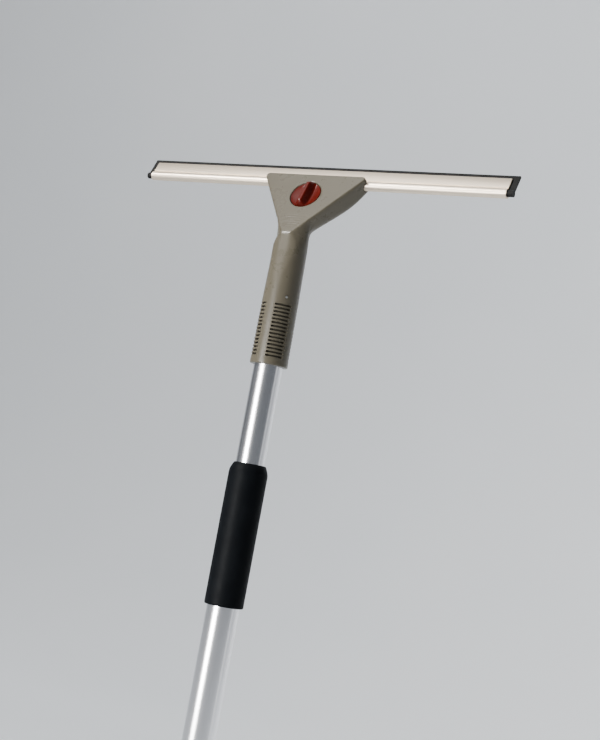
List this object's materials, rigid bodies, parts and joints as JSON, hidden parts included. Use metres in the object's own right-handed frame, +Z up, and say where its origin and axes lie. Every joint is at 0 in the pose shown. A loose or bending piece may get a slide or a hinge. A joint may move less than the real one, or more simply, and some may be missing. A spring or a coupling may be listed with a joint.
{
  "type": "window cleaning squeegee",
  "caption": "Window squeegee with a rubber blade in an aluminium channel, a leaning grey head with a red clamp knob, and a telescopic tube pole with a black grip.",
  "frame": {"origin": "on the pole's axis, at the lower end of the outer tube", "axes": "+Z up the pole to the head, +X along the blade, -Y towards the side with the knob"},
  "size_m": [0.37, 0.0523, 0.8044],
  "materials": {
    "anodised_tube": "satin, drawn tube",
    "channel_aluminium": "satin extrusion",
    "grip_rubber": "satin",
    "blade_rubber": "matte",
    "grey_moulding": "fine grain",
    "black_moulding": "fine grain",
    "red_moulding": "gloss",
    "white_moulding": "acetal",
    "screw_steel": "plated"
  },
  "bodies": {
    "outer_pole": {"outer_tube": "anodised_tube", "grip_sleeve": "grip_rubber", "top_guide_bush": "black_moulding", "end_cap": "black_moulding"},
    "lock_slider": {"glide_ring": "white_moulding"},
    "inner_pole": {"inner_tube": "anodised_tube", "lock_plug": "white_moulding", "cam_washer": "screw_steel", "cam_screw": "screw_steel", "handle": "grey_moulding", "back_cover": "grey_moulding", "socket_pin": "screw_steel", "cover_screw_left": "screw_steel", "cover_screw_right": "screw_steel", "cover_screw_lower": "screw_steel"},
    "lock_cam": {"cam_ring": "white_moulding"},
    "knob": {"lock_knob": "red_moulding", "knob_friction_ring": "blade_rubber", "cam_disc": "white_moulding", "knob_screw": "screw_steel"},
    "shoe": {"clamp_shoe": "white_moulding", "shoe_pad": "blade_rubber"},
    "blade": {"blade_channel": "channel_aluminium", "rubber_blade": "blade_rubber"}
  },
  "joints": [
    {"name": "pole_extend", "type": "slide", "parent": "outer_pole", "child": "lock_slider", "axis": [0, 0, 1], "range_m": [-0.084, 0.29]},
    {"name": "pole_twist", "type": "hinge", "parent": "lock_slider", "child": "inner_pole", "pos_m": [0, 0, 0.183], "axis": [0, 0, 1], "range_deg": [0, 90]},
    {"name": "cam_ring_turn", "type": "hinge", "parent": "inner_pole", "child": "lock_cam", "pos_m": [0.0008, 0, 0.165], "axis": [0, 0, 1], "range_deg": [-90, 0]},
    {"name": "channel_slide", "type": "slide", "parent": "inner_pole", "child": "blade", "axis": [1, 0, 0], "range_m": [-0.17, 0.17]},
    {"name": "knob_turn", "type": "hinge", "parent": "inner_pole", "child": "knob", "pos_m": [0, 0.00794, 0.74853], "axis": [0, -0.8864, 0.4628], "range_deg": [0, 90]},
    {"name": "shoe_slide", "type": "slide", "parent": "inner_pole", "child": "shoe", "axis": [0, -0.4628, -0.8864], "range_m": [0, 0.0015]}
  ],
  "couplings": [
    {"joint": "cam_ring_turn", "follows": "pole_twist", "ratio": -1},
    {"joint": "shoe_slide", "follows": "knob_turn", "m_per_rad": 0.00095493}
  ]
}
